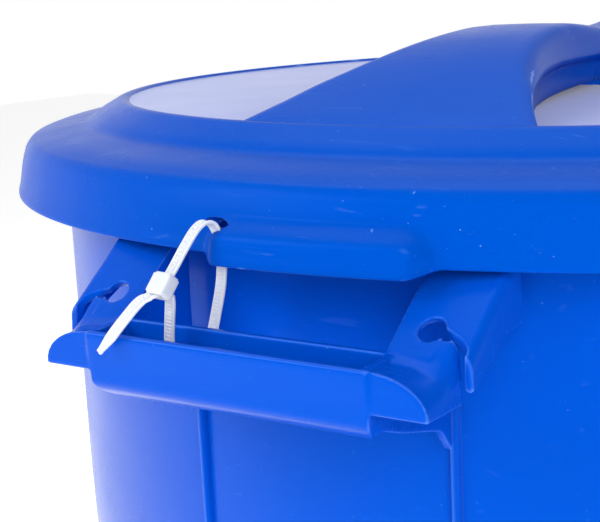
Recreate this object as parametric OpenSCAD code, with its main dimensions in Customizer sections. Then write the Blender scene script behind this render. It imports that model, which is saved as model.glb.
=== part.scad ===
// Round moulded bin with side handles, a clip-over lid and a cable-tie seal.
// Millimetres, +Z up. The origin is on the ground under the middle of the tub.
// The front handle is towards -Y and the rear handle is the same one turned half round.

/* [Tub] */
// Height of the lid's bottom edge above the ground
edge_z = 575; // [450:5:700]
// Outer radius of the tub just under the lid
tub_r = 235; // [234:0.5:236]
// Outer radius where the wall meets the base
foot_r = 190; // [170:5:205]
// Depth of the nearly straight band at the top of the wall
band_depth = 175; // [150:5:250]
// Wall thickness of the tub
wall = 2.8; // [2:0.2:4]

/* [Lid] */
// Outer radius of the lid's bottom edge
lid_r = 255; // [254:0.5:256]
// Wall thickness of the lid
lid_wall = 2.6; // [2:0.2:3]
// Turn of the lid on the tub, in degrees
lid_turn = 2.4; // [0:0.2:4]
// Height of the carrying bridge above the lid's edge
bridge_top = 61; // [56:0.5:66]
// Dip of the bridge's top at its middle
bridge_dip = 6.3; // [0:0.1:8]
// Half width of the bridge's grip
bridge_half = 20.3; // [18:0.1:24]
// Depth of the finger well below the lid's flat top
well_depth = 19; // [14:1:22]

/* [Handles] */
// Half length of the hand grip
grip_half = 50.6; // [45:0.2:55]
// Radius of the grip's front lip from the tub's axis
grip_r = 281.7; // [280:0.1:283]
// Thickness of the handle's plates
plate = 2.6; // [2:0.2:3]
// Radius of the keyhole in each arm
key_r = 4; // [3:0.25:5]

/* [Cable tie] */
// Width of the strap
strap_w = 3.7; // [2.5:0.1:4.8]
// Thickness of the strap
strap_t = 1.1; // [0.8:0.1:1.4]

/* [Hidden] */
$fn = 180;
blue = [0.0, 0.33, 0.86];
nylon = [0.93, 0.94, 0.95];

// Base of the tub
floor_top = 9;
foot_ring = [175, 184];

// Handle section, as radius and height from the lid's edge
arm_in = 47.2;
arm_out = 70.6;
arm_slope = 0.78;
arm_datum = 187.1;
wing_end = 67.8;
back_r = 266;
lip_z = -21.3;
back_z = -20.4;
wing_z = -33.3;
bowl_z = -44;
web_low = -51;
key_at = [57.7, 258.3];
slit_w = 2;
// Window in the grip's back wall that the cable tie passes through
window_x = [-30, -16];
window_z = [-38.2, -26.2];

// Lid section, as radius and height from the lid's edge
top_z = 33.8;
crest = [210, 35.2];
crest_in = 206.5;
crease = [221.5, 29.5];
well_half = [74, 44];
tab_half = 39.8;
tab_shift = 5;
tab_r = 262;
tab_z = [-2, 11];
tab_corner = 13;
slot_x = [-34.4, -24.2];
slot_z = 5.6;

// Bridge: the foot starts to rise at the crest and levels off towards the middle
foot_s = 207;
level_s = 85;
waist_s = 70;
foot_drop = 25.4;
foot_flare = 36.5;
arch_s = 136;
arch_rise = 4.2;

// Route of the cable tie: sideways, radius and height from the lid's edge, from the head's
// root round the loop, back through the head and on to the tip of the tail
tie_route = [
    [-22.9, 273.2, -8.9], [-23.6, 272.2, -12], [-25, 271.2, -17], [-26.2, 270.6, -24],
    [-26.4, 270, -30], [-25.8, 268.4, -34.4], [-24.6, 265.2, -36], [-23, 261.4, -34.8],
    [-21.8, 258.8, -30.6], [-20.4, 257.6, -25], [-18.4, 256.9, -17], [-16.2, 256.7, -8],
    [-15.4, 256.7, 0], [-16, 256.8, 5.6], [-17.2, 258, 9.8], [-18.4, 260.4, 11],
    [-19.6, 263.4, 9.2], [-21, 267.2, 4.4], [-22.6, 272.1, -2.3], [-24.4, 277.2, -8],
    [-26.6, 278.9, -7.8], [-29.6, 280.8, -10], [-33.8, 282.6, -16], [-38, 284, -21.4],
    [-42, 285.2, -26.2]
];
head_at = [-23.7, 275.2, -6];
head_size = [7.4, 5.2, 6.8];
head_tilt = -40;
head_turn = -8;

function mix(a, b, k) = a + (b - a) * k;
function unit(v) = v / norm(v);
function front(p) = [p[0], -p[1], edge_z + p[2]];

// Outer radius of the tub at a height measured from the lid's edge
function wall_r(z) = z > -band_depth
    ? mix(tub_r - 1.4, tub_r, (z + band_depth) / band_depth)
    : mix(foot_r, tub_r - 1.4, (z + edge_z - floor_top) / (edge_z - floor_top - band_depth));

// Height of the lid's outer surface at a radius
function lid_z(r) = r < crest_in ? top_z
    : r < crest[0] ? mix(top_z, crest[1], (r - crest_in) / (crest[0] - crest_in))
    : mix(crest[1], crease[1], (r - crest[0]) / (crease[0] - crest[0]));

module along_x(x0, x1)
    translate([x0, 0, 0]) rotate([90, 0, 90]) linear_extrude(x1 - x0) children();

module outward(r0, r1)
    translate([0, -r0, edge_z]) rotate([90, 0, 0]) linear_extrude(r1 - r0) children();

// A plate between two sideways positions, its outline given as radius and height
module plate_x(x0, x1, outline)
    translate([0, 0, edge_z]) along_x(x0, x1) polygon([for (p = outline) [-p[0], p[1]]]);

// Everything inside the tub's outer surface, for trimming the handles to it
module tub_envelope()
    rotate_extrude() polygon([
        [0, edge_z - 300], [wall_r(-300), edge_z - 300], [wall_r(-band_depth), edge_z - band_depth],
        [tub_r, edge_z], [tub_r, edge_z + 12], [0, edge_z + 12]
    ]);

module tub_wall() color(blue) rotate_extrude() polygon([
    [foot_r, floor_top], [wall_r(-band_depth), edge_z - band_depth], [tub_r, edge_z], [tub_r, edge_z + 5],
    [tub_r - wall, edge_z + 5], [tub_r - wall, edge_z], [wall_r(-band_depth) - wall, edge_z - band_depth],
    [foot_r - wall, floor_top]
]);

module tub_base() color(blue) rotate_extrude() polygon([
    [0, 6], [foot_ring[0] - 3, 6], [foot_ring[0], 0], [foot_ring[1], 0],
    [foot_r, floor_top], [0, floor_top]
]);

// Rolled rim that the lid sits over
module tub_rim() color(blue) rotate_extrude() translate([0, edge_z]) {
    polygon([
        [tub_r - wall, 5], [tub_r, 5], [tub_r, 13], [240, 17], [245, 15], [245, 5], [247.4, 5],
        [247.4, 17], [243, 20.2], [237, 20.2], [tub_r - wall, 16.5]
    ]);
}

// Pair of ribs that run down the wall under the handle's webs
module ribs() color(blue) difference() {
    for (side = [0, 1]) mirror([side, 0, 0])
        plate_x(arm_in, arm_in + plate, [
            [wall_r(-52) - 10, web_low - 0.2], [238.5, web_low - 0.2], [236.5, web_low - 6],
            [wall_r(-band_depth) + 2, -band_depth], [wall_r(-260) + 0.8, -260], [wall_r(-262) - 10, -262]
        ]);
    tub_envelope();
}

// Open-topped trough that the hand closes on, with a closed end at each side
module grip(window) color(blue) {
    outer = [
        [back_r - plate, back_z], [back_r - plate, bowl_z + 7], [back_r + 0.4, bowl_z + 1.6],
        [back_r + 5, bowl_z], [273.8, bowl_z + 1], [277.8, bowl_z + 3.9], [280.1, bowl_z + 7],
        [grip_r - 1.2, wing_z], [grip_r, lip_z]
    ];
    inner = [
        [back_r, lip_z + 9], [back_r, bowl_z + 7], [back_r + 2, bowl_z + 3.6], [back_r + 5, bowl_z + plate],
        [273, bowl_z + 3.6], [276, bowl_z + 5.8], [277.6, bowl_z + 8], [grip_r - 3.8, wing_z],
        [grip_r - 2.6, lip_z + 9]
    ];
    difference() {
        plate_x(-grip_half, grip_half, outer);
        plate_x(-grip_half + plate, grip_half - plate, inner);
        if (window)
            plate_x(window_x[0], window_x[1], [
                [back_r - plate - 1, window_z[0]], [back_r + 1, window_z[0]],
                [back_r + 1, window_z[1]], [back_r - plate - 1, window_z[1]]
            ]);
    }
}

// Sloping arm with its keyhole and slit, and the leaf-shaped flange along its outer side
module arm() color(blue) difference() {
    union() {
        plate_x(arm_in, arm_out, [
            [tub_r - 6, arm_datum - arm_slope * (tub_r - 6)],
            [back_r - plate, arm_datum - arm_slope * (back_r - plate)],
            [back_r - plate, arm_datum - arm_slope * (back_r - plate) - plate * 1.27],
            [tub_r - 6, arm_datum - arm_slope * (tub_r - 6) - plate * 1.27]
        ]);
        plate_x(arm_out, arm_out + plate, [
            [tub_r - 6, arm_datum - arm_slope * (tub_r - 6)],
            [back_r - plate, arm_datum - arm_slope * (back_r - plate)],
            [265.2, -30], [243, -18.4], [238.5, -17], [tub_r - 6, -22]
        ]);
    }
    tub_envelope();
    translate(front([key_at[0], key_at[1], arm_datum - arm_slope * key_at[1]]))
        rotate([atan(arm_slope), 0, 0]) {
            cylinder(h = 12, r = key_r, center = true);
            rotate([0, 0, -16]) translate([0, -slit_w / 2, -6]) cube([20, slit_w, 12]);
        }
}

// Upright web under the arm's inner edge
module web() color(blue) difference() {
    plate_x(arm_in, arm_in + plate, [
        [tub_r - 6, arm_datum - arm_slope * (tub_r - 6) - plate * 1.27],
        [back_r - plate, arm_datum - arm_slope * (back_r - plate) - plate * 1.27],
        [back_r - plate, bowl_z + 3], [240, web_low], [tub_r - 6, web_low]
    ]);
    tub_envelope();
}

// Quarter-round cap that closes the end of the handle
function wing_cap(a, b) = concat(
    [[grip_half, wing_z - 1]],
    [for (k = [0:8]) [grip_half + a * sin(k * 90 / 8), wing_z + b * cos(k * 90 / 8)]],
    [[grip_half + a, wing_z - 1]]
);

module wing() color(blue) {
    inset = 2.4;
    span = wing_end - grip_half;
    rise = arm_datum - arm_slope * (back_r - plate) - wing_z;
    difference() {
        intersection() {
            outward(back_r - plate, grip_r - 1) polygon(wing_cap(span, rise));
            plate_x(grip_half, wing_end, [
                [back_r - plate, wing_z], [grip_r - 1.2, wing_z], [grip_r - 1, lip_z - 0.4],
                [back_r + 2, back_z], [back_r - plate, wing_z + rise]
            ]);
        }
        intersection() {
            outward(back_r - plate - 1, grip_r - 1 - inset) polygon(wing_cap(span - inset, rise - inset));
            plate_x(grip_half - 1, wing_end, [
                [back_r - plate - 1, wing_z - 2], [grip_r - 1, wing_z - 2], [grip_r - 1, lip_z - inset - 0.4],
                [back_r + 2, back_z - inset], [back_r - plate - 1, back_z - inset + 1.6]
            ]);
        }
    }
}

// Outer skirt, shoulder, sloping flange, riser and crest of the lid
module lid_skirt() color(blue) translate([0, 0, edge_z]) rotate_extrude() polygon([
    [lid_r, 0], [lid_r + 0.2, 1.2], [lid_r - 0.9, 3], [252.8, 12.8], [251.6, 17.6], [250.6, 19.8], [248.6, 21.5],
    [245, 22.6], [229.8, 26.1], [224.8, 27], [222.6, 28.2], crease, [216, 32.7], [crest[0] + 1, crest[1] - 0.2],
    crest, [crest[0] - 1.2, crest[1] - 0.2], [crest_in, top_z],
    [crest_in, top_z - lid_wall], [211, crest[1] - lid_wall - 0.8], [220, 27], [222.6, 25],
    [229.4, 23.4], [244.6, 20], [247.6, 18.6], [249, 16.6], [250.2, 12.4], [lid_r - 3.2, 0]
]);

module well_outline(grow)
    for (side = [-1, 1]) {
        translate([side * (well_half[0] - well_half[1]), 0]) circle(r = well_half[1] + grow);
        square([2 * (well_half[0] - well_half[1]), 2 * (well_half[1] + grow)], center = true);
    }

// Flat middle of the lid with the finger well under the bridge
module lid_top() color(blue) rotate([0, 0, lid_turn]) translate([0, 0, edge_z]) difference() {
    union() {
        translate([0, 0, top_z - lid_wall]) cylinder(h = lid_wall, r = crest_in);
        translate([0, 0, top_z - well_depth - lid_wall]) linear_extrude(well_depth) well_outline(lid_wall);
    }
    translate([0, 0, top_z - well_depth]) linear_extrude(well_depth + 1) well_outline(0);
}

// Carrying bridge: one closed section swept from the front foot to the rear foot
function bridge_z(s) = let (v = max(0, abs(s) - level_s) / (foot_s - 1 - level_s), m = max(0, 1 - pow(s / 95, 2)))
    max(bridge_top - bridge_dip * m * m - foot_drop * v * v, crest[1] + 0.8);
function bridge_w(s) = let (u = max(0, abs(s) - waist_s) / 140) bridge_half + foot_flare * pow(u, 2.2);
function bridge_seat(r) = r > crest_in - 9 ? crest[1] : top_z;
function bridge_base(s, w) = bridge_seat(norm([s, w])) + 0.1 + arch_rise * max(0, 1 - pow(s / arch_s, 2));
function bridge_bead(s) = min(48, mix(bridge_base(s, bridge_w(s)), bridge_z(s), 0.52));
function bridge_half_section(s) = let (
    z = bridge_z(s), w = bridge_w(s), b = bridge_base(s, w), zb = bridge_bead(s), k = min(1, (z - b) / 24)
) [
    [w - 9, z - 0.1 * k], [w - 4, z - 0.7 * k], [w - 1.2, z - 2.2 * k], [w, z - 4.4 * k],
    [w + 1.6 * k, mix(z, zb, 0.6)], [w + 2.6 * k, zb], [w + 1.6 * k, zb - 1.8 * k], [w - 1.2 * k, zb - 4 * k],
    [w - 2 * k, b]
];
base_steps = 6;
function bridge_section(s) = let (half = bridge_half_section(s), n = len(half), edge = half[n - 1][0]) concat(
    [for (p = half) p],
    [for (i = [1:base_steps - 1]) let (w = mix(edge, -edge, i / base_steps)) [w, bridge_base(s, w)]],
    [for (i = [n - 1:-1:0]) [-half[i][0], half[i][1]]]
);
bridge_reach = 190;
bridge_skin = 3;
function hollow_half_section(s) = let (z = bridge_z(s) - bridge_skin, w = bridge_w(s), zb = bridge_bead(s) - 1) [
    [w - 9, z], [w - 5, z - 0.9], [w - bridge_skin - 0.6, min(z - 1.4, mix(z, zb, 0.5))],
    [w - bridge_skin + 0.6, zb - 1], [w - bridge_skin - 2, bridge_base(s, w) - 2]
];
function hollow_section(s) = let (half = hollow_half_section(s), n = len(half)) concat(
    half, [for (i = [n - 1:-1:0]) [-half[i][0], half[i][1]]]
);
bridge_stations = [
    for (s = [-foot_s, -203, -199, -194, -187, -180, -172, -164, -155, -146, -136, -125, -113, -100, -85, -70, -52, -35, -18]) s,
    0,
    for (s = [18, 35, 52, 70, 85, 100, 113, 125, 136, 146, 155, 164, 172, 180, 187, 194, 199, 203, foot_s]) s
];

// Solid skin over a list of closed rings with the same number of points
module loft(rings) {
    n = len(rings[0]);
    m = len(rings);
    points = [for (ring = rings) each ring];
    sides = [for (j = [0:m - 2], i = [0:n - 1])
        let (a = j * n + i, b = j * n + (i + 1) % n)
        each [[a, b + n, b], [a, a + n, b + n]]];
    first = [[for (i = [0:n - 1]) i]];
    last = [[for (i = [n - 1:-1:0]) (m - 1) * n + i]];
    polyhedron(points, concat(sides, first, last), convexity = 6);
}

module lid_bridge() color(blue) rotate([0, 0, lid_turn]) translate([0, 0, edge_z])
    difference() {
        loft([for (s = bridge_stations) [for (p = bridge_section(s)) [p[0], s, p[1]]]]);
        loft([for (s = bridge_stations) if (abs(s) < bridge_reach) [for (p = hollow_section(s)) [p[0], s, p[1]]]]);
    }

// Pull tab that bulges out of the skirt, hollow behind its face
module tab(slotted) color(blue) rotate([0, 0, lid_turn]) difference() {
    intersection() {
        rotate([0, 0, 252]) rotate_extrude(angle = 36) translate([0, edge_z]) polygon([
            [252.6, tab_z[1] + 3], [252.6, 14], [255.4, tab_z[1] + 1.2], [258.6, tab_z[1]],
            [260.6, tab_z[1] - 2.6], [tab_r, tab_z[0] + 1.4], [tab_r - 0.8, tab_z[0]],
            [259.4, tab_z[0]], [258.2, tab_z[1] - 4], [257, tab_z[1] - 2.4], [253.9, tab_z[1] - 2.2]
        ]);
        outward(240, 270) translate([tab_shift, 0]) tab_outline();
    }
    if (slotted)
        outward(254, 266) translate([slot_x[0], slot_z]) square([slot_x[1] - slot_x[0], 10]);
}

module tab_outline() {
    high = tab_z[1] + 4;
    polygon(concat(
        [[-tab_half, tab_z[0] - 1], [tab_half, tab_z[0] - 1]],
        [for (k = [0:10]) [tab_half - tab_corner * (1 - cos(k * 9)), high - tab_corner * (1 - sin(k * 9))]],
        [for (k = [10:-1:0]) [-tab_half + tab_corner * (1 - cos(k * 9)), high - tab_corner * (1 - sin(k * 9))]]
    ));
}

// Smooth curve through the points of a route
function spline_at(p, i, k) = let (
    a = p[max(0, i - 1)], b = p[i], c = p[i + 1], d = p[min(len(p) - 1, i + 2)]
) 0.5 * (2 * b + (c - a) * k + (2 * a - 5 * b + 4 * c - d) * k * k + (3 * b - a - 3 * c + d) * k * k * k);
function smooth(p, steps) = [for (i = [0:len(p) - 2], j = [0:steps - 1]) spline_at(p, i, j / steps), p[len(p) - 1]];
function heading(p, i) = unit(p[min(len(p) - 1, i + 1)] - p[max(0, i - 1)]);
function across(t) = unit([1, 0, 0] - t[0] * t);

module tie_strap() color(nylon) {
    path = [for (p = smooth(tie_route, 2)) front(p)];
    loft([for (i = [0:len(path) - 1])
        let (t = heading(path, i), w = across(t) * strap_w / 2, n = cross(t, across(t)) * strap_t / 2)
        [path[i] + w + n, path[i] - w + n, path[i] - w - n, path[i] + w - n]]);
}

// Locking head: a block with the strap's slot through it
module tie_head() color(nylon) translate(front(head_at)) rotate([head_tilt, 0, head_turn]) difference() {
    cube(head_size, center = true);
    cube([strap_w + 0.8, strap_t + 1.2, 20], center = true);
}

module turned() rotate([0, 0, 180]) children();
module flipped() mirror([1, 0, 0]) children();

tub_wall();
tub_base();
tub_rim();
ribs();  // front_ribs
turned() ribs();  // rear_ribs
grip(true);  // front_grip
turned() grip(false);  // rear_grip
flipped() arm();  // front_arm_left
arm();  // front_arm_right
turned() flipped() arm();  // rear_arm_left
turned() arm();  // rear_arm_right
flipped() web();  // front_web_left
web();  // front_web_right
turned() flipped() web();  // rear_web_left
turned() web();  // rear_web_right
flipped() wing();  // front_wing_left
wing();  // front_wing_right
turned() flipped() wing();  // rear_wing_left
turned() wing();  // rear_wing_right
lid_skirt();
lid_top();
lid_bridge();
tab(true);  // front_tab
turned() tab(false);  // rear_tab
tie_strap();
tie_head();
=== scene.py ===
import math

import bmesh
import bpy
import numpy as np
from mathutils import Matrix, Vector


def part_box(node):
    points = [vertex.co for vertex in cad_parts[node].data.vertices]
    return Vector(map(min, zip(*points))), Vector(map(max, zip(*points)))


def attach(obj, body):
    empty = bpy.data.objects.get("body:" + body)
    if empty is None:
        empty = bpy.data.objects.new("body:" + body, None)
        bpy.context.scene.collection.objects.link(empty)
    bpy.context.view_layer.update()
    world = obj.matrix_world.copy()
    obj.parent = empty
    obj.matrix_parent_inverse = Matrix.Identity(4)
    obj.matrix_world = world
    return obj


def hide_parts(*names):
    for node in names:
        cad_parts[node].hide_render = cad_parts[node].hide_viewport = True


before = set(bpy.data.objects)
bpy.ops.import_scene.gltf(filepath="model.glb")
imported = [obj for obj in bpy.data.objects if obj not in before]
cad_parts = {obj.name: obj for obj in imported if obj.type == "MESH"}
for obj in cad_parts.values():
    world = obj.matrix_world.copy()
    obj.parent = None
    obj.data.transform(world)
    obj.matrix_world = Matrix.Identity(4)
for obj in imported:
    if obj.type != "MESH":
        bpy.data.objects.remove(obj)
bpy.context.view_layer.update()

MM = 0.001


# ---------------------------------------------------------------- where the frame's parts are
def low(node):
    return np.array(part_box(node)[0]) / MM


def high(node):
    return np.array(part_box(node)[1]) / MM


EDGE = low("lid_skirt")[2]
LID_R = high("lid_skirt")[0] - 0.2
TUB_R = high("tub_wall")[0]
GRIP_HALF = high("front_grip")[0]
LIP_R = -low("front_grip")[1]
LIP_Z = high("front_grip")[2] - EDGE - 0.9
FOOT_R = high("tub_base")[0]
CROWN_Z = high("lid_bridge")[2] - EDGE
LID_TURN = 2.4  # of the lid on the tub, in degrees
TAB_SHIFT = 5.0  # of each tab's middle along the skirt

# Radii are from the tub's axis, and heights are from the lid's bottom edge, EDGE.


# ---------------------------------------------------------------- mesh helpers, in millimetres
def mix(a, b, k):
    return a + (b - a) * k


def smooth(k):
    k = np.clip(k, 0, 1)
    return k * k * (3 - 2 * k)


def piece(name, verts, faces, soft=True):
    mesh = bpy.data.meshes.new(name)
    mesh.from_pydata([tuple(float(c) * MM for c in v) for v in verts], [], faces)
    mesh.validate()
    mesh.update()
    obj = bpy.data.objects.new(name, mesh)
    bpy.context.scene.collection.objects.link(obj)
    if soft:
        mesh.shade_smooth()
    return obj


def soften(points, radius, steps=5, closed=True):
    """An outline with each corner swapped for a short curve."""
    points = [np.array(p, float) for p in points]
    n = len(points)
    radii = radius if isinstance(radius, (list, tuple)) else [radius] * n
    out = []
    for i, p in enumerate(points):
        if not closed and i in (0, n - 1):
            out.append(p)
            continue
        a, b = points[i - 1] - p, points[(i + 1) % n] - p
        la, lb = np.linalg.norm(a), np.linalg.norm(b)
        pa = p + a / la * min(radii[i], 0.48 * la)
        pb = p + b / lb * min(radii[i], 0.48 * lb)
        for k in range(steps + 1):
            t = k / steps
            out.append((1 - t) ** 2 * pa + 2 * t * (1 - t) * p + t * t * pb)
    return out


def densify(points, step):
    out = [np.array(points[0], float)]
    for a, b in zip(points[:-1], points[1:]):
        a, b = np.array(a, float), np.array(b, float)
        n = max(1, int(math.ceil(np.linalg.norm(b - a) / step)))
        out += [a + (b - a) * k / n for k in range(1, n + 1)]
    return out


def skin(rings, loop=False, caps=True):
    """Faces between rings of the same number of points; loop joins the last ring to the first."""
    n, m = len(rings[0]), len(rings)
    verts = [p for ring in rings for p in ring]
    faces = []
    for j in range(m if loop else m - 1):
        k = (j + 1) % m
        for i in range(n):
            h = (i + 1) % n
            faces.append((j * n + i, j * n + h, k * n + h, k * n + i))
    if caps and not loop:
        faces.append(tuple(range(n))[::-1])
        faces.append(tuple((m - 1) * n + i for i in range(n)))
    return verts, faces


def full_turn(count):
    return np.linspace(0, 2 * math.pi, count, endpoint=False)


def across(u, v, w):
    """A section drawn as radius and height, placed w to the side."""
    return (w, -u, v + EDGE)


def facing(u, v, w):
    """An outline seen from the front, placed at radius w."""
    return (u, -w, v + EDGE)


def outward_facing(obj):
    """Flips the mesh if its signed volume is negative."""
    mesh = obj.data
    mesh.calc_loop_triangles()
    co = np.array([v.co for v in mesh.vertices])
    tri = np.array([t.vertices for t in mesh.loop_triangles])
    a, b, c = co[tri[:, 0]], co[tri[:, 1]], co[tri[:, 2]]
    if np.einsum("ij,ij->i", a, np.cross(b, c)).sum() < 0:
        mesh.flip_normals()
    return obj


def prism(name, outline, place, a, b):
    """A closed block: outline points through place(u, v, w) at w = a and w = b."""
    rings = [[place(u, v, w) for u, v in outline] for w in (a, b)]
    return outward_facing(piece(name, *skin(rings), soft=False))


def apply_modifiers(obj):
    dg = bpy.context.evaluated_depsgraph_get()
    mesh = bpy.data.meshes.new_from_object(obj.evaluated_get(dg))
    obj.modifiers.clear()
    obj.data = mesh


def combine(target, others, how):
    for other in others:
        mod = target.modifiers.new("cut", "BOOLEAN")
        mod.object = other
        mod.operation = how
        mod.solver = "EXACT"
    apply_modifiers(target)
    for other in others:
        bpy.data.objects.remove(other)
    return target


def mould(obj, voxel, rounds):
    """One closed skin over everything in the mesh, with softened edges."""
    mod = obj.modifiers.new("skin", "REMESH")
    mod.mode = "VOXEL"
    mod.voxel_size = voxel * MM
    mod = obj.modifiers.new("soft", "SMOOTH")
    mod.factor = 0.5
    mod.iterations = rounds
    apply_modifiers(obj)
    obj.data.shade_smooth()
    return obj


def join(name, parts):
    verts, faces = [], []
    for p in parts:
        base = len(verts)
        verts += [tuple(c / MM for c in v.co) for v in p.data.vertices]
        faces += [tuple(base + i for i in f.vertices) for f in p.data.polygons]
        bpy.data.objects.remove(p)
    return piece(name, verts, faces, soft=False)


def close_holes(obj):
    bm = bmesh.new()
    bm.from_mesh(obj.data)
    bmesh.ops.holes_fill(bm, edges=[e for e in bm.edges if e.is_boundary], sides=0)
    bmesh.ops.recalc_face_normals(bm, faces=bm.faces)
    bm.to_mesh(obj.data)
    bm.free()


def spin(obj, degrees):
    obj.data.transform(Matrix.Rotation(math.radians(degrees), 4, "Z"))
    return obj


# ---------------------------------------------------------------- materials
def shader(name, colour, rough):
    mat = bpy.data.materials.new(name)
    mat.use_nodes = True
    bsdf = mat.node_tree.nodes["Principled BSDF"]
    bsdf.inputs["Base Color"].default_value = (*colour, 1)
    bsdf.inputs["Roughness"].default_value = rough
    return mat, mat.node_tree, bsdf


def noise(tree, scale, detail, stretch=None):
    coords = tree.nodes.new("ShaderNodeTexCoord")
    tex = tree.nodes.new("ShaderNodeTexNoise")
    tex.inputs["Scale"].default_value = scale
    tex.inputs["Detail"].default_value = detail
    if stretch:
        mapping = tree.nodes.new("ShaderNodeMapping")
        mapping.inputs["Scale"].default_value = stretch
        mapping.inputs["Rotation"].default_value = (0.3, 0.2, 0.9)
        tree.links.new(coords.outputs["Object"], mapping.inputs["Vector"])
        tree.links.new(mapping.outputs["Vector"], tex.inputs["Vector"])
    else:
        tree.links.new(coords.outputs["Object"], tex.inputs["Vector"])
    return tex.outputs["Fac"]


def ramp(tree, source, start, end, low_value, high_value):
    node = tree.nodes.new("ShaderNodeMapRange")
    node.inputs["From Min"].default_value = start
    node.inputs["From Max"].default_value = end
    node.inputs["To Min"].default_value = low_value
    node.inputs["To Max"].default_value = high_value
    tree.links.new(source, node.inputs["Value"])
    return node.outputs["Result"]


def compute(tree, operation, first, second):
    node = tree.nodes.new("ShaderNodeMath")
    node.operation = operation
    tree.links.new(first, node.inputs[0])
    tree.links.new(second, node.inputs[1])
    return node.outputs[0]


FULL_WEAR = 0.18  # the lid's own wear, which the strengths of the marks are given for
# pale blue of the rub marks, also used for the painted highlight along sharp edges
RUB_AND_HIGHLIGHT_BLUE = (0.14, 0.32, 0.85, 1)


def blue_plastic(name, colour, worn, rough, gloss=0.3):
    """Moulded plastic with scratches, dust and rub marks as strong as worn says, and a painted highlight along
    its sharp edges.
    """
    mat, tree, bsdf = shader(name, colour, rough)
    bsdf.inputs["IOR"].default_value = 1.46
    bsdf.inputs["Specular IOR Level"].default_value = gloss
    bsdf.inputs["Specular Tint"].default_value = (0.02, 0.25, 1.0, 1)
    bsdf.inputs["Subsurface Weight"].default_value = 0.12
    bsdf.inputs["Subsurface Radius"].default_value = (0.0006, 0.0012, 0.004)
    bsdf.inputs["Subsurface Scale"].default_value = 1.0
    # slow mottling of the gloss and fine handling scratches
    cloudy = ramp(tree, noise(tree, 22, 3), 0.3, 0.7, rough - 0.04, rough + 0.05)
    scratch = ramp(tree, noise(tree, 90, 6, (0.6, 14, 6)), 0.62, 0.74, 0, worn)
    tree.links.new(compute(tree, "ADD", cloudy, scratch), bsdf.inputs["Roughness"])
    # specks of dust and pale rub marks
    speck = ramp(tree, noise(tree, 520, 2), 0.735, 0.77, 0, 0.55 * worn / FULL_WEAR)
    rub = ramp(tree, noise(tree, 60, 8, (0.5, 9, 5)), 0.66, 0.8, 0, 0.2 * worn / FULL_WEAR)
    marks = compute(tree, "MAXIMUM", speck, rub)
    # sharp outer edges get a painted highlight: pointiness lifts their colour towards the paler blue
    geometry = tree.nodes.new("ShaderNodeNewGeometry")
    edge = ramp(tree, geometry.outputs["Pointiness"], 0.525, 0.6, 0, 0.7)
    blend = tree.nodes.new("ShaderNodeMix")
    blend.data_type = "RGBA"
    blend.inputs["A"].default_value = (*colour, 1)
    blend.inputs["B"].default_value = RUB_AND_HIGHLIGHT_BLUE
    tree.links.new(compute(tree, "MAXIMUM", marks, edge), blend.inputs["Factor"])
    tree.links.new(blend.outputs["Result"], bsdf.inputs["Base Color"])
    # faint unevenness of the moulded skin
    bump = tree.nodes.new("ShaderNodeBump")
    bump.inputs["Strength"].default_value = 0.12
    bump.inputs["Distance"].default_value = 0.0006
    tree.links.new(noise(tree, 70, 5), bump.inputs["Height"])
    tree.links.new(bump.outputs["Normal"], bsdf.inputs["Normal"])
    return mat


BLUE = (0.0, 0.07, 0.52)
# the lid's blue is a little darker than the tub's: painted shade for the dimmer light on the lid's skirt and
# tab
LID_SHADED_BLUE = (0.0, 0.07, 0.47)
lid_plastic = blue_plastic("lid_plastic", LID_SHADED_BLUE, FULL_WEAR, 0.28, 0.06)
tub_plastic = blue_plastic("tub_plastic", BLUE, 0.06, 0.24, 0.4)
cad_plastic = shader("cad_plastic", BLUE, 0.3)[0]
# the flat top has a finer, satin grain that turns pale at a low angle
disc_plastic = blue_plastic("disc_plastic", BLUE, 0.1, 0.36)
disc_bsdf = disc_plastic.node_tree.nodes["Principled BSDF"]
disc_bsdf.inputs["Specular IOR Level"].default_value = 0.8
disc_bsdf.inputs["Specular Tint"].default_value = (1, 1, 1, 1)
disc_bsdf.inputs["Sheen Weight"].default_value = 0.8
disc_bsdf.inputs["Sheen Roughness"].default_value = 0.3
disc_bsdf.inputs["Sheen Tint"].default_value = (0.9, 0.92, 1.0, 1)

nylon, _, nylon_bsdf = shader("nylon", (0.7, 0.74, 0.8), 0.3)
nylon_bsdf.inputs["Subsurface Weight"].default_value = 0.6
nylon_bsdf.inputs["Subsurface Radius"].default_value = (0.0015, 0.0017, 0.002)
nylon_bsdf.inputs["Subsurface Scale"].default_value = 1.0
nylon_bsdf.inputs["Transmission Weight"].default_value = 0.12

floor_paint, _, floor_bsdf = shader("floor_paint", (0.93, 0.93, 0.935), 0.7)
floor_bsdf.inputs["Emission Color"].default_value = (1, 1, 1, 1)
floor_bsdf.inputs["Emission Strength"].default_value = 0.62


def finish_piece(obj, body, slot, material, *nodes):
    obj.data.materials.clear()
    obj.data.materials.append(material)
    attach(obj, body)
    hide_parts(*nodes)


# the frame's own nodes stay plain, because a piece below replaces each of them
for name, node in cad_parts.items():
    node.data.materials.clear()
    node.data.materials.append(nylon if name.startswith("tie") else cad_plastic)


# ---------------------------------------------------------------- lid
TOP_Z, LID_WALL = 33.8, 2.6
CREST, CREST_IN, CREASE = (210.0, 35.2), 206.5, (221.5, 29.5)
WELL_DEPTH, WELL_HALF = 19.0, (74.0, 44.0)
TAB_HALF, TAB_TOP, TAB_PROUD = 39.8, 11.2, 6.6
SKIRT_R = 255.0


def lid_z(r):
    if r < CREST_IN:
        return TOP_Z
    if r < CREST[0]:
        return mix(TOP_Z, CREST[1], (r - CREST_IN) / (CREST[0] - CREST_IN))
    return mix(CREST[1], CREASE[1], (r - CREST[0]) / (CREASE[0] - CREST[0]))


def well_drop(x, y):
    """How far the finger well dips at a point; its sides are steep and its edges round."""
    reach = WELL_HALF[0] - WELL_HALF[1]
    inside = WELL_HALF[1] - np.hypot(np.maximum(np.abs(x) - reach, 0), y)
    return WELL_DEPTH * smooth((inside + 0.5) / 7.5)


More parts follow.
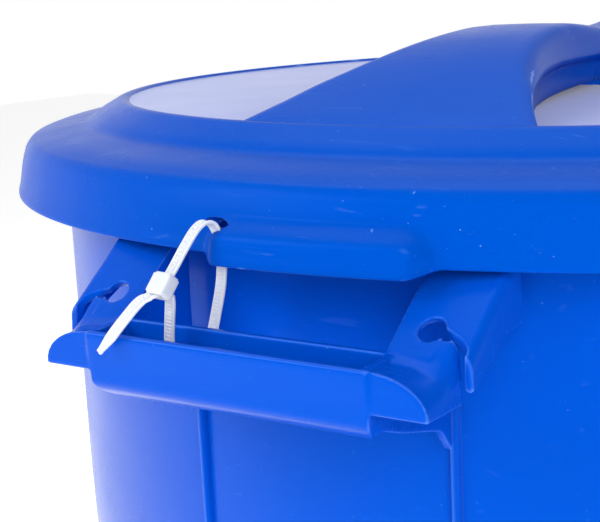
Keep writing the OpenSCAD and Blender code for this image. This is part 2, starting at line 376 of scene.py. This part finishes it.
def tab_bulge(t, z):
    """Soft pull tab: full in the middle, fading out over its ends and its top."""
    ends = smooth((TAB_HALF + 1.5 - np.abs(t)) / 10.5)
    round_off = 1 - np.sqrt(1 - np.clip((np.abs(t) - 27) / 13, 0, 1) ** 2)
    top = TAB_TOP - 8 * round_off
    return TAB_PROUD * ends * smooth((top + 1.4 - z) / 6.4)


outer = soften(
    [
        # crest and riser
        (CREST_IN - 3, TOP_Z), (CREST_IN + 0.6, TOP_Z + 0.2), (CREST[0] - 1.2, CREST[1]),
        (CREST[0] + 1.4, CREST[1]), (216, 32.7), (221.6, 29.6), (225, 26.7),
        # sloping flange and shoulder
        (230, 26.1), (241.7, 24.1), (248.8, 21.6), (250.9, 18.8), (251.6, 16.8),
        # skirt
        (252.8, 12.8), (254.2, 4.6), (LID_R + 0.15, 1.6), (LID_R + 0.1, 0.15), (253.6, 0.0),
    ],
    [2, 2.2, 1.8, 1.8, 3, 2.6, 2.6, 4, 5, 1.6, 1.2, 2, 3, 1.6, 0.9, 0.6, 0.4],
    steps=6,
    closed=False,
)
inner = soften(
    [
        (252.6, 0.1), (251.9, 0.8), (250.2, 12.4), (249, 16.6), (247.6, 18.6), (244.6, 20),
        (229.4, 23.4), (222.6, 25), (220, 27), (211, 31.6), (CREST_IN - 3, TOP_Z - LID_WALL),
    ],
    1.5,
    steps=4,
    closed=False,
)
# the disc's rings are close together where the finger well's sides are
disc_radii = [0.8, *np.arange(2, 20, 2), *np.arange(20, 86, 1.1), *np.arange(88, 203, 3.5)]
disc = [(r, TOP_Z) for r in disc_radii]
under = [(r, TOP_Z - LID_WALL) for r in disc_radii[::-1]]
profile = disc + densify(outer, 0.8) + densify(inner, 1.2) + under
profile = np.array([(p[0], p[1]) for p in profile])
# finer steps across each tab
fine = np.arange(-13, 13.01, 0.2)
coarse = np.arange(13.6, 166.5, 0.7)
degrees = np.concatenate([fine, coarse, fine + 180, coarse + 180])
rings = []
for angle in degrees:
    # angle 0 is the front tab's side, and the angles run towards +X
    around = math.radians(angle - 90)
    side = (angle + 90) % 360 - 90
    from_tab = side if side < 90 else side - 180
    r, z = profile[:, 0].copy(), profile[:, 1].copy()
    t = SKIRT_R * math.radians(from_tab) - TAB_SHIFT
    bulge = tab_bulge(t, z) * (r > 238)
    r += bulge
    # the tab's lower edge hangs a little below the skirt's
    z -= 2.2 * (bulge / TAB_PROUD) * (z < 4) * (1 - np.clip(z / 4, 0, 1) * 0.5)
    x, y = r * math.cos(around), r * math.sin(around)
    flat = profile[:, 0] < 90
    z -= np.where(flat, well_drop(x, y), 0)
    rings.append(np.stack([x, y, z + EDGE], 1))
lid_shell = outward_facing(piece("lid_shell", *skin(rings, loop=True, caps=False)))
# two small holes are left at the axis
close_holes(lid_shell)
lid_shell.data.shade_smooth()

# slot for the seal at the left end of the front tab
SLOT_AT, SLOT_HALF = (-29.6, 9.6), (5.8, 1.45)
leaf = [
    (
        SLOT_AT[0] + SLOT_HALF[0] * math.cos(a),
        SLOT_AT[1] + SLOT_HALF[1] * math.sin(a) * (1 - 0.3 * math.cos(a)),
    )
    for a in full_turn(28)
]
slot_cut = prism("slot_cut", leaf, facing, 249, 268)
combine(lid_shell, [slot_cut], "DIFFERENCE")
lid_shell.data.shade_smooth()
spin(lid_shell, LID_TURN)
finish_piece(lid_shell, "lid", "lid", lid_plastic, "lid_skirt", "lid_top", "front_tab", "rear_tab")
# the flat disc inside the crest takes the satin finish
lid_shell.data.materials.append(disc_plastic)
for face in lid_shell.data.polygons:
    c = face.center / MM
    if math.hypot(c.x, c.y) < CREST_IN + 0.6 and face.normal.z > 0.9 and c.z > EDGE + TOP_Z - 1:
        face.material_index = 1


# carrying bridge, drawn as sections at a distance s from the lid's middle
RIDGE_TOP, RIDGE_DIP, RIDGE_HALF = 61, 6.3, 20.4


def ridge_top(s):
    dip = RIDGE_DIP * max(0.0, 1 - (s / 95) ** 2) ** 2
    return RIDGE_TOP - dip - 24.2 * max(0.0, (abs(s) - 85) / 120) ** 2


def ridge_half(s):
    return RIDGE_HALF + 35 * max(0.0, (abs(s) - 70) / 135) ** 2.4


def ridge_bead(s):
    return min(48 - 4 * max(0.0, (abs(s) - 110) / 65) ** 1.3, ridge_top(s) - 3.2)


def ridge_foot(s):
    arch = 4.2 * max(0.0, 1 - (s / 146) ** 2) ** 0.9
    return TOP_Z - 1.2 + (arch + 1.0 * (arch > 0))


def foot_height(r):
    """The ridge's crown near its foot, where it runs over the crest and down the riser."""
    if r < 210:
        return ridge_top(r) + 0.57 * float(smooth((r - 190) / 20))
    return 35.3 - 0.496 * (r - 210) - 3 * float(smooth((r - 217) / 3))


def ridge_section(s):
    z, w, zb = min(foot_height(abs(s)), CROWN_Z), ridge_half(s), ridge_bead(s)
    zf = ridge_foot(s)
    if abs(s) > 185:
        zf = lid_z(math.hypot(s, w + 3)) - LID_WALL
    zf, zb = min(zf, z - 1.5), min(zb, z - 1.0)
    k = smooth((z - zb) / 8)
    bulge = 1 - 0.85 * float(smooth((abs(s) - 150) / 45))
    half = [
        (0, z), (w - 3.2, z - 0.25), (w + 0.1, z - 2.6 * k - 0.3),
        (w + 1.5 * bulge, mix(z, zb, 0.62)), (w + 3.1 * bulge, zb + 0.9),
        (w + 2.9 * bulge, zb - 1.1), (w + 0.6 * bulge, zb - 2.6),
        (w + 0.2, mix(zb, zf, 0.75)), (w - 0.8, zf), (w - 6, zf - 0.02),
    ]
    half = [(a, max(b, zf) if i < 8 else b) for i, (a, b) in enumerate(half)]
    radii = [5, 4, 3.4, 3, 1.6, 1.4, 1.2, 1.2, 1.2, 2]
    left = [(-a, b) for a, b in half[1:]][::-1]
    out = []
    # near the feet the surface follows the round crest, so it is lower at its sides
    for u, v in soften(half + left, radii + radii[1:][::-1], steps=4):
        up = max(0.0, min(1.0, (v - zf) / max(z - zf, 0.5)))
        share = smooth((abs(s) - 120) / 70) * up
        sunk = z - foot_height(math.hypot(s, u)) if abs(s) > 120 else 0.0
        out.append((u, v - sunk * share))
    return out


stations = sorted({float(s) for s in [*np.arange(-219, 219.1, 3.0), -214.5, -217.5, 214.5, 217.5]})
sections = [[(u, s, v + EDGE) for u, v in ridge_section(s)] for s in stations]
bridge = piece("bridge", *skin(sections))
outward_facing(bridge)
spin(bridge, LID_TURN)
finish_piece(bridge, "lid", "lid", lid_plastic, "lid_bridge")

# ---------------------------------------------------------------- tub
WALL, FLOOR_TOP = 2.8, 9
BAND, BAND_R = 175, TUB_R - 1.4  # the nearly straight band at the top of the wall
GROUND = -EDGE
tub_outline = soften(
    [
        # inside, and the base's underside
        (TUB_R - WALL, 12), (TUB_R - WALL, GROUND + 185), (FOOT_R - WALL, GROUND + 9.4),
        (20, GROUND + FLOOR_TOP), (20, GROUND + 6), (172, GROUND + 6),
        # foot ring and outside
        (175, GROUND), (184, GROUND), (FOOT_R, GROUND + FLOOR_TOP), (BAND_R, -BAND), (TUB_R, 0),
        # rolled rim under the lid
        (TUB_R, 12.6), (240, 17), (245, 15.2), (245, 5.2), (247.3, 5.2), (247.3, 17.2), (243, 20),
        (237, 20), (TUB_R - WALL, 16.2),
    ],
    [3, 60, 8, 1, 1, 1.5, 1.5, 1.5, 5, 70, 3, 3, 3, 1.5, 0.4, 0.6, 3, 2, 2, 2],
    steps=8,
)
tub_rings = []
for angle in np.arange(0, 360, 0.75):
    a = math.radians(angle)
    tub_rings.append([(p[0] * math.cos(a), p[0] * math.sin(a), p[1] + EDGE) for p in tub_outline])
tub_shell = piece("tub_shell", *skin(tub_rings, loop=True, caps=False))
close_holes(tub_shell)
# the section starts 20 mm from the axis, so a disc fills the middle of the base
centre_rings = [
    [(20.5 * math.cos(a), 20.5 * math.sin(a), z) for a in full_turn(64)] for z in (6.02, 8.98)
]
centre = outward_facing(piece("tub_centre", *skin(centre_rings), soft=False))
tub_shell = join("tub_shell", [tub_shell, centre])
tub_shell.data.shade_smooth()
finish_piece(tub_shell, "tub", "tub", tub_plastic, "tub_wall", "tub_base", "tub_rim")


# ---------------------------------------------------------------- handles
ARM_IN, ARM_OUT, PLATE, BACK_R = 47.2, 70.6, 2.6, 266.0
SLOPE, DATUM = 0.78, 187.1
BOWL, WING_Z = -44.0, -33.3
HOLE_AT, HOLE_R = (57.7, 258.3), 4.1
CAP_FROM, CAP_TO = 49.6, 68.6
# in plan, everything in front of the slit's outer edge
BEYOND_SLIT = [
    (61.6, 257.6), (63.7, 258.2), (66.6, 259.3), (69.4, 260.9), (70.5, 262.2), (70.6, 285), (61.6, 285),
]


def arm_top(r):
    return DATUM - SLOPE * r


def wall_r(z):
    if z > -BAND:
        return mix(BAND_R, TUB_R, (z + BAND) / BAND)
    return mix(FOOT_R, BAND_R, (z + EDGE - FLOOR_TOP) / (EDGE - FLOOR_TOP - BAND))


def rounded_end(half, floor, corner, top=-10.0):
    """Outline across the grip: straight sides and round lower corners."""
    turn_in = [
        (half - corner * (1 - math.sin(a)), floor + corner * (1 - math.cos(a)))
        for a in np.linspace(0, math.pi / 2, 9)
    ]
    return turn_in + [(half, top), (-half, top)] + [(-u, v) for u, v in turn_in[::-1]]


def cap_drop(t, r):
    """How far the cap at the grip's end has come down, from 0 on top to 1 at its edge."""
    ahead = 1 - math.sqrt(max(0.0, 1 - min(1.0, max(0.0, t - 50.3) / 18.3) ** 2))
    behind = 1 - max(0.0, 1 - min(1.0, max(0.0, t - 63) / 5.6) ** 3) ** (1 / 3)
    return mix(behind, ahead, smooth((r - 261) / 19.5))


def cap_top(t, r):
    radii = [255, BACK_R, 270, LIP_R - 1]
    heights = [arm_top(255), arm_top(BACK_R), -22.2, LIP_Z - 0.3]
    flat = float(np.interp(r, radii, heights))
    return mix(flat, WING_Z + 0.4, cap_drop(t, r))


def cap_back(t):
    """Radius of the cap's rear edge, which bows in behind the keyhole's slit."""
    return float(np.interp(t, [50, 61.4, 63.5, 66.5, CAP_TO], [261.8, 260.8, 259.5, 260.3, 261.8]))


def cap_solid(side, start, end, front, shrink):
    """Everything under the cap's top surface, between two sideways positions."""
    rings = []
    for a in np.linspace(0, math.pi / 2, 26):
        t = start + (end - start) * math.sin(a)
        back = cap_back(t) + 0.7 * shrink
        own = min(t + shrink, CAP_TO)
        top = [(r, max(cap_top(own, r) - shrink, WING_Z - 0.2)) for r in np.linspace(back, front, 15)]
        floor = [(front, WING_Z - 0.4 - shrink), (back, WING_Z - 0.4 - shrink)]
        rings.append([across(u, v, side * t) for u, v in top + floor])
    return outward_facing(piece("cap", *skin(rings), soft=False))


def trough(seal):
    """Open-topped trough that the hand closes on, with the seal's window if it has one."""
    bowl = soften(
        [
            (BACK_R - PLATE, -20.4), (BACK_R - PLATE, BOWL + 5), (BACK_R + 3, BOWL), (273, BOWL + 0.6),
            (LIP_R - 1.0, BOWL + 5), (LIP_R - 1.0, WING_Z), (LIP_R - 0.05, LIP_Z - 2), (LIP_R - 0.05, LIP_Z),
        ],
        [0.5, 4, 4, 6, 7, 3, 1.4, 0.9],
        steps=5,
    )
    hollow = soften(
        [
            (LIP_R - 2.5, -8), (LIP_R - 2.7, LIP_Z - 1), (LIP_R - 3.6, -33), (LIP_R - 4, BOWL + 8),
            (272.6, BOWL + 3.4), (BACK_R + 3.4, BOWL + 2.8), (BACK_R, BOWL + 7), (BACK_R, -8),
        ],
        [0.5, 2, 3, 4, 5, 4, 4, 0.5],
        steps=5,
    )
    body = prism("trough", bowl, across, -60, 60)
    end = prism("end", rounded_end(GRIP_HALF - 0.2, BOWL - 0.2, 8), facing, 255, 290)
    room = prism("room", hollow, across, -60, 60)
    room_end = prism("room_end", rounded_end(GRIP_HALF - 2.8, BOWL + 2.4, 6, -5), facing, 255, 290)
    room = combine(room, [room_end], "INTERSECT")
    body = combine(combine(body, [end], "INTERSECT"), [room], "DIFFERENCE")
    if seal:
        window = soften([(-30, -38.2), (-16, -38.2), (-16, -26.4), (-30, -26.4)], 2)
        body = combine(body, [prism("window", window, facing, BACK_R - 6, BACK_R + 1)], "DIFFERENCE")
    return body


def beyond_slit(side):
    return prism("beyond", BEYOND_SLIT, lambda u, v, w: (side * u, -v, w + EDGE), -45, 5)


def arm_and_cap(side):
    """Sloping arm, cut away beyond the slit, with its keyhole and the cap over the grip's end."""
    section = soften(
        [
            (TUB_R - 1, arm_top(TUB_R - 1)), (BACK_R + 0.2, arm_top(BACK_R)),
            (BACK_R + 0.2, arm_top(BACK_R) - 2.9), (TUB_R - 1, arm_top(TUB_R - 1) - 3.3),
        ],
        0.2,
        steps=1,
    )
    arm = prism("arm", section, across, side * ARM_IN, side * (ARM_OUT - 0.6))
    arm = combine(arm, [beyond_slit(side)], "DIFFERENCE")
    cap = combine(
        cap_solid(side, CAP_FROM, CAP_TO, LIP_R - 1.0, 0.0),
        [cap_solid(side, CAP_FROM - 0.6, CAP_TO - PLATE + 0.2, LIP_R - 3.4, 2.4)],
        "DIFFERENCE",
    )
    body = combine(join("arm_and_cap", [arm]), [cap], "UNION")

    slope_down = math.atan(SLOPE)

    def on_arm(u, v, w):
        # u sideways, v down the slope, w square to the arm's face
        r = HOLE_AT[1] + v * math.cos(slope_down) + w * math.sin(slope_down)
        z = arm_top(HOLE_AT[1]) - v * math.sin(slope_down) + w * math.cos(slope_down)
        return (side * HOLE_AT[0] + side * u, -r, z + EDGE)

    hole = [(HOLE_R * math.cos(a), HOLE_R * math.sin(a)) for a in full_turn(36)]
    notch = [(2, -0.6), (4.6, -0.6), (6.3, 0.8), (7.0, 2.4), (5.6, 3.2), (4.4, 2.0), (2, 1.6)]
    cuts = [prism("hole", hole, on_arm, -9, 6), prism("notch", notch, on_arm, -9, 6)]
    return combine(body, cuts, "DIFFERENCE")


def flange(side):
    """Rounded crease along the arm's outer edge, and the flange that leans outward below it."""
    sections = []
    for r in np.linspace(TUB_R - 1, 264.4, 24):
        z = arm_top(r)
        bottom = float(np.interp(r, [TUB_R - 1, 242.3, 264.6, 266], [-16.4, -17.6, -29.2, -29.4]))
        bottom = min(bottom, z - 3)
        section = soften(
            [
                (ARM_OUT - 1.4, z), (ARM_OUT + 0.9, z), (ARM_OUT + 2.5, z - 3.0), (ARM_OUT + 2.6, bottom),
                (ARM_OUT + 0.2, bottom), (ARM_OUT - 0.6, z - 3.6), (ARM_OUT - 1.4, z - 3.2),
            ],
            [0.3, 2.4, 2.4, 0.5, 0.5, 1, 0.3],
            steps=4,
        )
        sections.append([(side * u, -r, v + EDGE) for u, v in section])
    body = outward_facing(piece("flange", *skin(sections), soft=False))
    return combine(body, [beyond_slit(side)], "DIFFERENCE")


def web(side):
    """Upright web under the arm's inner edge."""
    outline = [
        (TUB_R - 1, arm_top(TUB_R - 1) - 1), (BACK_R - 1, arm_top(BACK_R - 1) - 1), (276, -24),
        (276, -39.5), (262, BOWL - 0.4), (240, -50.2), (TUB_R + 1, -56), (TUB_R - 1, -58),
    ]
    outline = soften(outline, [1, 1, 1, 2, 3, 3, 2, 1])
    return prism("web", outline, across, side * ARM_IN, side * (ARM_IN + PLATE))


def handle(name, seal):
    solids = [trough(seal)]
    for side in (-1, 1):
        solids += [arm_and_cap(side), flange(side), web(side)]
    return mould(join(name, solids), 0.55, 3)


FRONT_NODES = [
    "front_grip", "front_arm_left", "front_arm_right", "front_web_left", "front_web_right",
    "front_wing_left", "front_wing_right",
]
REAR_NODES = [node.replace("front", "rear") for node in FRONT_NODES]
front_handle = handle("front_handle", True)
finish_piece(front_handle, "tub", "tub", tub_plastic, *FRONT_NODES)
rear_handle = spin(handle("rear_handle", False), 180)
finish_piece(rear_handle, "tub", "tub", tub_plastic, *REAR_NODES)


# ribs down the wall below the webs
RIB_X, RIB_TOP, RIB_FOOT = 48.5, -38, -262


def rib(x, rear):
    rings = []
    for z in np.linspace(RIB_TOP, RIB_FOOT, 64):
        fade = 1 - smooth((-z - 60) / 205)
        stand = 2.4 * fade * smooth((RIB_TOP - z) / 12) + 0.5 * smooth((-50 - z) / 10)
        half = mix(1.35, 1.0, max(0, -z - 50) / 212)
        r = wall_r(z)
        shape = soften(
            [
                (-half - 0.7, r - 1.2), (-half, r + stand * 0.7), (0, r + stand + 0.15),
                (half, r + stand * 0.7), (half + 0.7, r - 1.2),
            ],
            0.7,
            steps=2,
        )
        rings.append([(x + u, -math.sqrt(max(v * v - x * x, 0)), z + EDGE) for u, v in shape])
    obj = outward_facing(piece("rib", *skin(rings)))
    return spin(obj, 180) if rear else obj


for rear in (False, True):
    tag = "rear" if rear else "front"
    pair = join(tag + "_rib_pair", [rib(-RIB_X, rear), rib(RIB_X, rear)])
    pair.data.shade_smooth()
    finish_piece(pair, "tub", "tub", tub_plastic, tag + "_ribs")

# ---------------------------------------------------------------- cable tie
# sideways, radius and height, from the head's root round the loop and back through the head
route = [
    (-22.9, 273.2, -8.9), (-23.6, 272.2, -12), (-25, 271.2, -17), (-26.2, 270.6, -24), (-26.4, 270, -30),
    (-25.8, 268.4, -34.4), (-24.6, 265.2, -36), (-23, 261.4, -34.8), (-21.8, 258.8, -30.6), (-20.4, 257.6, -25),
    (-18.4, 256.9, -17), (-16.2, 256.7, -8), (-15.4, 256.7, 0), (-16, 256.8, 5.6), (-17.2, 258, 9.8),
    (-18.4, 260.4, 11), (-19.6, 263.4, 9.2), (-21, 267.2, 4.4), (-22.6, 272.1, -2.3), (-24, 276.6, -7.4),
    (-25.8, 278.8, -8.6), (-28.6, 280.6, -10.4), (-33.4, 282.6, -16), (-38, 284, -21.6), (-41.6, 285.2, -26),
]


def through(points, step):
    """A smooth curve through the points, in even steps."""
    p = [np.array((x, -r, z + EDGE)) for x, r, z in points]
    out = []
    for i in range(len(p) - 1):
        a, b, c, d = p[max(0, i - 1)], p[i], p[i + 1], p[min(len(p) - 1, i + 2)]
        for k in np.linspace(0, 1, 24, endpoint=False):
            bend = (2 * a - 5 * b + 4 * c - d) * k * k + (3 * b - a - 3 * c + d) * k ** 3
            out.append(0.5 * (2 * b + (c - a) * k + bend))
    out.append(p[-1])
    out = np.array(out)
    run = np.concatenate([[0], np.cumsum(np.linalg.norm(np.diff(out, axis=0), axis=1))])
    even = np.arange(0, run[-1], step)
    return np.stack([np.interp(even, run, out[:, k]) for k in range(3)], 1), even, run[-1]


STRAP_W, STRAP_T, STRAP_EDGE, TOOTH = 3.6, 1.1, 0.62, 1.15
path, at, total = through(route, 0.19)
heads = np.gradient(path, axis=0)
heads /= np.linalg.norm(heads, axis=1)[:, None]
rings = []
for i, (p, t) in enumerate(zip(path, heads)):
    wide = np.array([1.0, 0, 0]) - t[0] * t
    wide /= np.linalg.norm(wide)
    up = np.cross(t, wide)
    # the tip narrows, and neither end has teeth
    w = STRAP_W / 2 * (mix(0.55, 1, smooth((total - at[i]) / 7)))
    h = STRAP_T / 2
    toothed = 3 < at[i] < total - 6
    groove = 0.34 * (0.5 + 0.5 * math.cos(2 * math.pi * at[i] / TOOTH)) if toothed else 0.0
    flat = w - STRAP_EDGE
    inner_face, outer_face = -h + 0.06 + 0.45 * groove, h - 0.1 - groove
    shape = [
        (-w, -h + 0.2), (-w + 0.22, -h), (-flat, -h), (-flat + 0.16, inner_face),
        (flat - 0.16, inner_face), (flat, -h), (w - 0.22, -h), (w, -h + 0.2),
        (w, h - 0.2), (w - 0.22, h), (flat, h), (flat - 0.16, outer_face),
        (-flat + 0.16, outer_face), (-flat, h), (-w + 0.22, h), (-w, h - 0.2),
    ]
    rings.append([p + wide * u + up * v for u, v in shape])
strap = outward_facing(piece("strap", *skin(rings)))
finish_piece(strap, "tie", "tie", nylon, "tie_strap")

# locking head: a block and a collar with the strap's gate through them, and the pawl in the gate
head_at = np.array((-23.7, -275.2, EDGE - 6))
head_turn = Matrix.Rotation(math.radians(-8), 4, "Z") @ Matrix.Rotation(math.radians(-40), 4, "X")


def in_head(u, v, w):
    return tuple(head_at + np.array(head_turn @ Vector((u, v, w))))


def oblong(u, v):
    return [(-u, -v), (u, -v), (u, v), (-u, v)]


block = prism("block", soften(oblong(3.7, 2.6), 1.1, steps=4), in_head, -3.0, 3.0)
collar = prism("collar", soften(oblong(3.2, 2.2), 0.8), in_head, -3.6, 3.6)
gate = prism("gate", oblong(2.15, 0.95), in_head, -5, 5)
pawl = prism("pawl", [(-1.3, -0.95), (1.3, -0.95), (1.3, -0.45), (-1.3, -0.6)], in_head, -2.2, 2.2)
moulded = mould(join("tie_raw", [block, collar]), 0.16, 2)
head = combine(join("tie_block", [moulded]), [gate], "DIFFERENCE")
head = join("tie_block", [head, pawl])
head.data.shade_smooth()
finish_piece(head, "tie", "tie", nylon, "tie_head")

# ---------------------------------------------------------------- stage, light and camera
FLOOR_HALF, FLOOR_Z = 6000, -0.2
floor = piece("floor", [(u, v, FLOOR_Z) for u, v in oblong(FLOOR_HALF, FLOOR_HALF)], [(0, 1, 2, 3)])
floor.data.materials.append(floor_paint)

world = bpy.data.worlds.new("studio")
bpy.context.scene.world = world
world.use_nodes = True
wt = world.node_tree
for n in list(wt.nodes):
    wt.nodes.remove(n)
# what the object reflects is bright behind it and to its left, and dimmer on the viewer's side
coords = wt.nodes.new("ShaderNodeTexCoord")
split = wt.nodes.new("ShaderNodeSeparateXYZ")
wt.links.new(coords.outputs["Generated"], split.inputs["Vector"])
ahead = wt.nodes.new("ShaderNodeVectorMath")
ahead.operation = "DOT_PRODUCT"
ahead.inputs[1].default_value = (-0.58, 0.81, 0.0)
wt.links.new(coords.outputs["Generated"], ahead.inputs[0])
depth = ramp(wt, ahead.outputs["Value"], -0.1, 0.6, 0.3, 1.0)
lift = ramp(wt, split.outputs["Z"], 0.14, 0.4, 1.0, 0.5)
around_it = wt.nodes.new("ShaderNodeBackground")
around_it.inputs["Color"].default_value = (1, 1, 1, 1)
wt.links.new(compute(wt, "MULTIPLY", depth, lift), around_it.inputs["Strength"])
# the camera itself sees plain white
seen = wt.nodes.new("ShaderNodeBackground")
seen.inputs["Color"].default_value = (1, 1, 1, 1)
seen.inputs["Strength"].default_value = 1.0
path_kind = wt.nodes.new("ShaderNodeLightPath")
either = wt.nodes.new("ShaderNodeMixShader")
wt.links.new(path_kind.outputs["Is Camera Ray"], either.inputs[0])
wt.links.new(around_it.outputs[0], either.inputs[1])
wt.links.new(seen.outputs[0], either.inputs[2])
world_out = wt.nodes.new("ShaderNodeOutputWorld")
wt.links.new(either.outputs[0], world_out.inputs["Surface"])

bpy.context.scene.view_settings.view_transform = "Standard"
bpy.context.scene.view_settings.look = "None"


def soft_box(name, at, aim, size, watts):
    data = bpy.data.lights.new(name, "AREA")
    data.shape = "RECTANGLE"
    data.size, data.size_y = size
    data.energy = watts
    obj = bpy.data.objects.new(name, data)
    obj.location = at
    obj.rotation_euler = (Vector(aim) - Vector(at)).to_track_quat("-Z", "Y").to_euler()
    bpy.context.scene.collection.objects.link(obj)


aim = (0, 0, EDGE * MM)
soft_box("key", (-1.3, -1.7, 1.75), aim, (1.4, 1.4), 36)
soft_box("fill", (1.3, -1.5, 1.4), aim, (1.4, 1.4), 32)
soft_box("top", (-0.3, 0.4, 2.4), aim, (1.8, 1.8), 14)

camera_data = bpy.data.cameras.new("camera")
camera = bpy.data.objects.new("camera", camera_data)
bpy.context.scene.collection.objects.link(camera)
camera_data.sensor_fit = "HORIZONTAL"
camera_data.sensor_width = 36
camera_data.lens = 84.2
camera_data.clip_start = 0.01
camera_data.clip_end = 50
# the camera's place is in metres from the axis and degrees from the front, its angles in degrees
REACH, HEADING, RISE = 0.6317, 22.7, 81.1
PAN, DIP, ROLL = 12.54, 11.35, -2.51
heading = math.radians(HEADING)
place = (REACH * math.sin(heading), -REACH * math.cos(heading), (EDGE + RISE) * MM)
camera.matrix_world = (
    Matrix.Translation(place)
    @ Matrix.Rotation(math.radians(HEADING + PAN), 4, "Z")
    @ Matrix.Rotation(math.radians(90 - DIP), 4, "X")
    @ Matrix.Rotation(math.radians(ROLL), 4, "Z")
)
bpy.context.scene.camera = camera
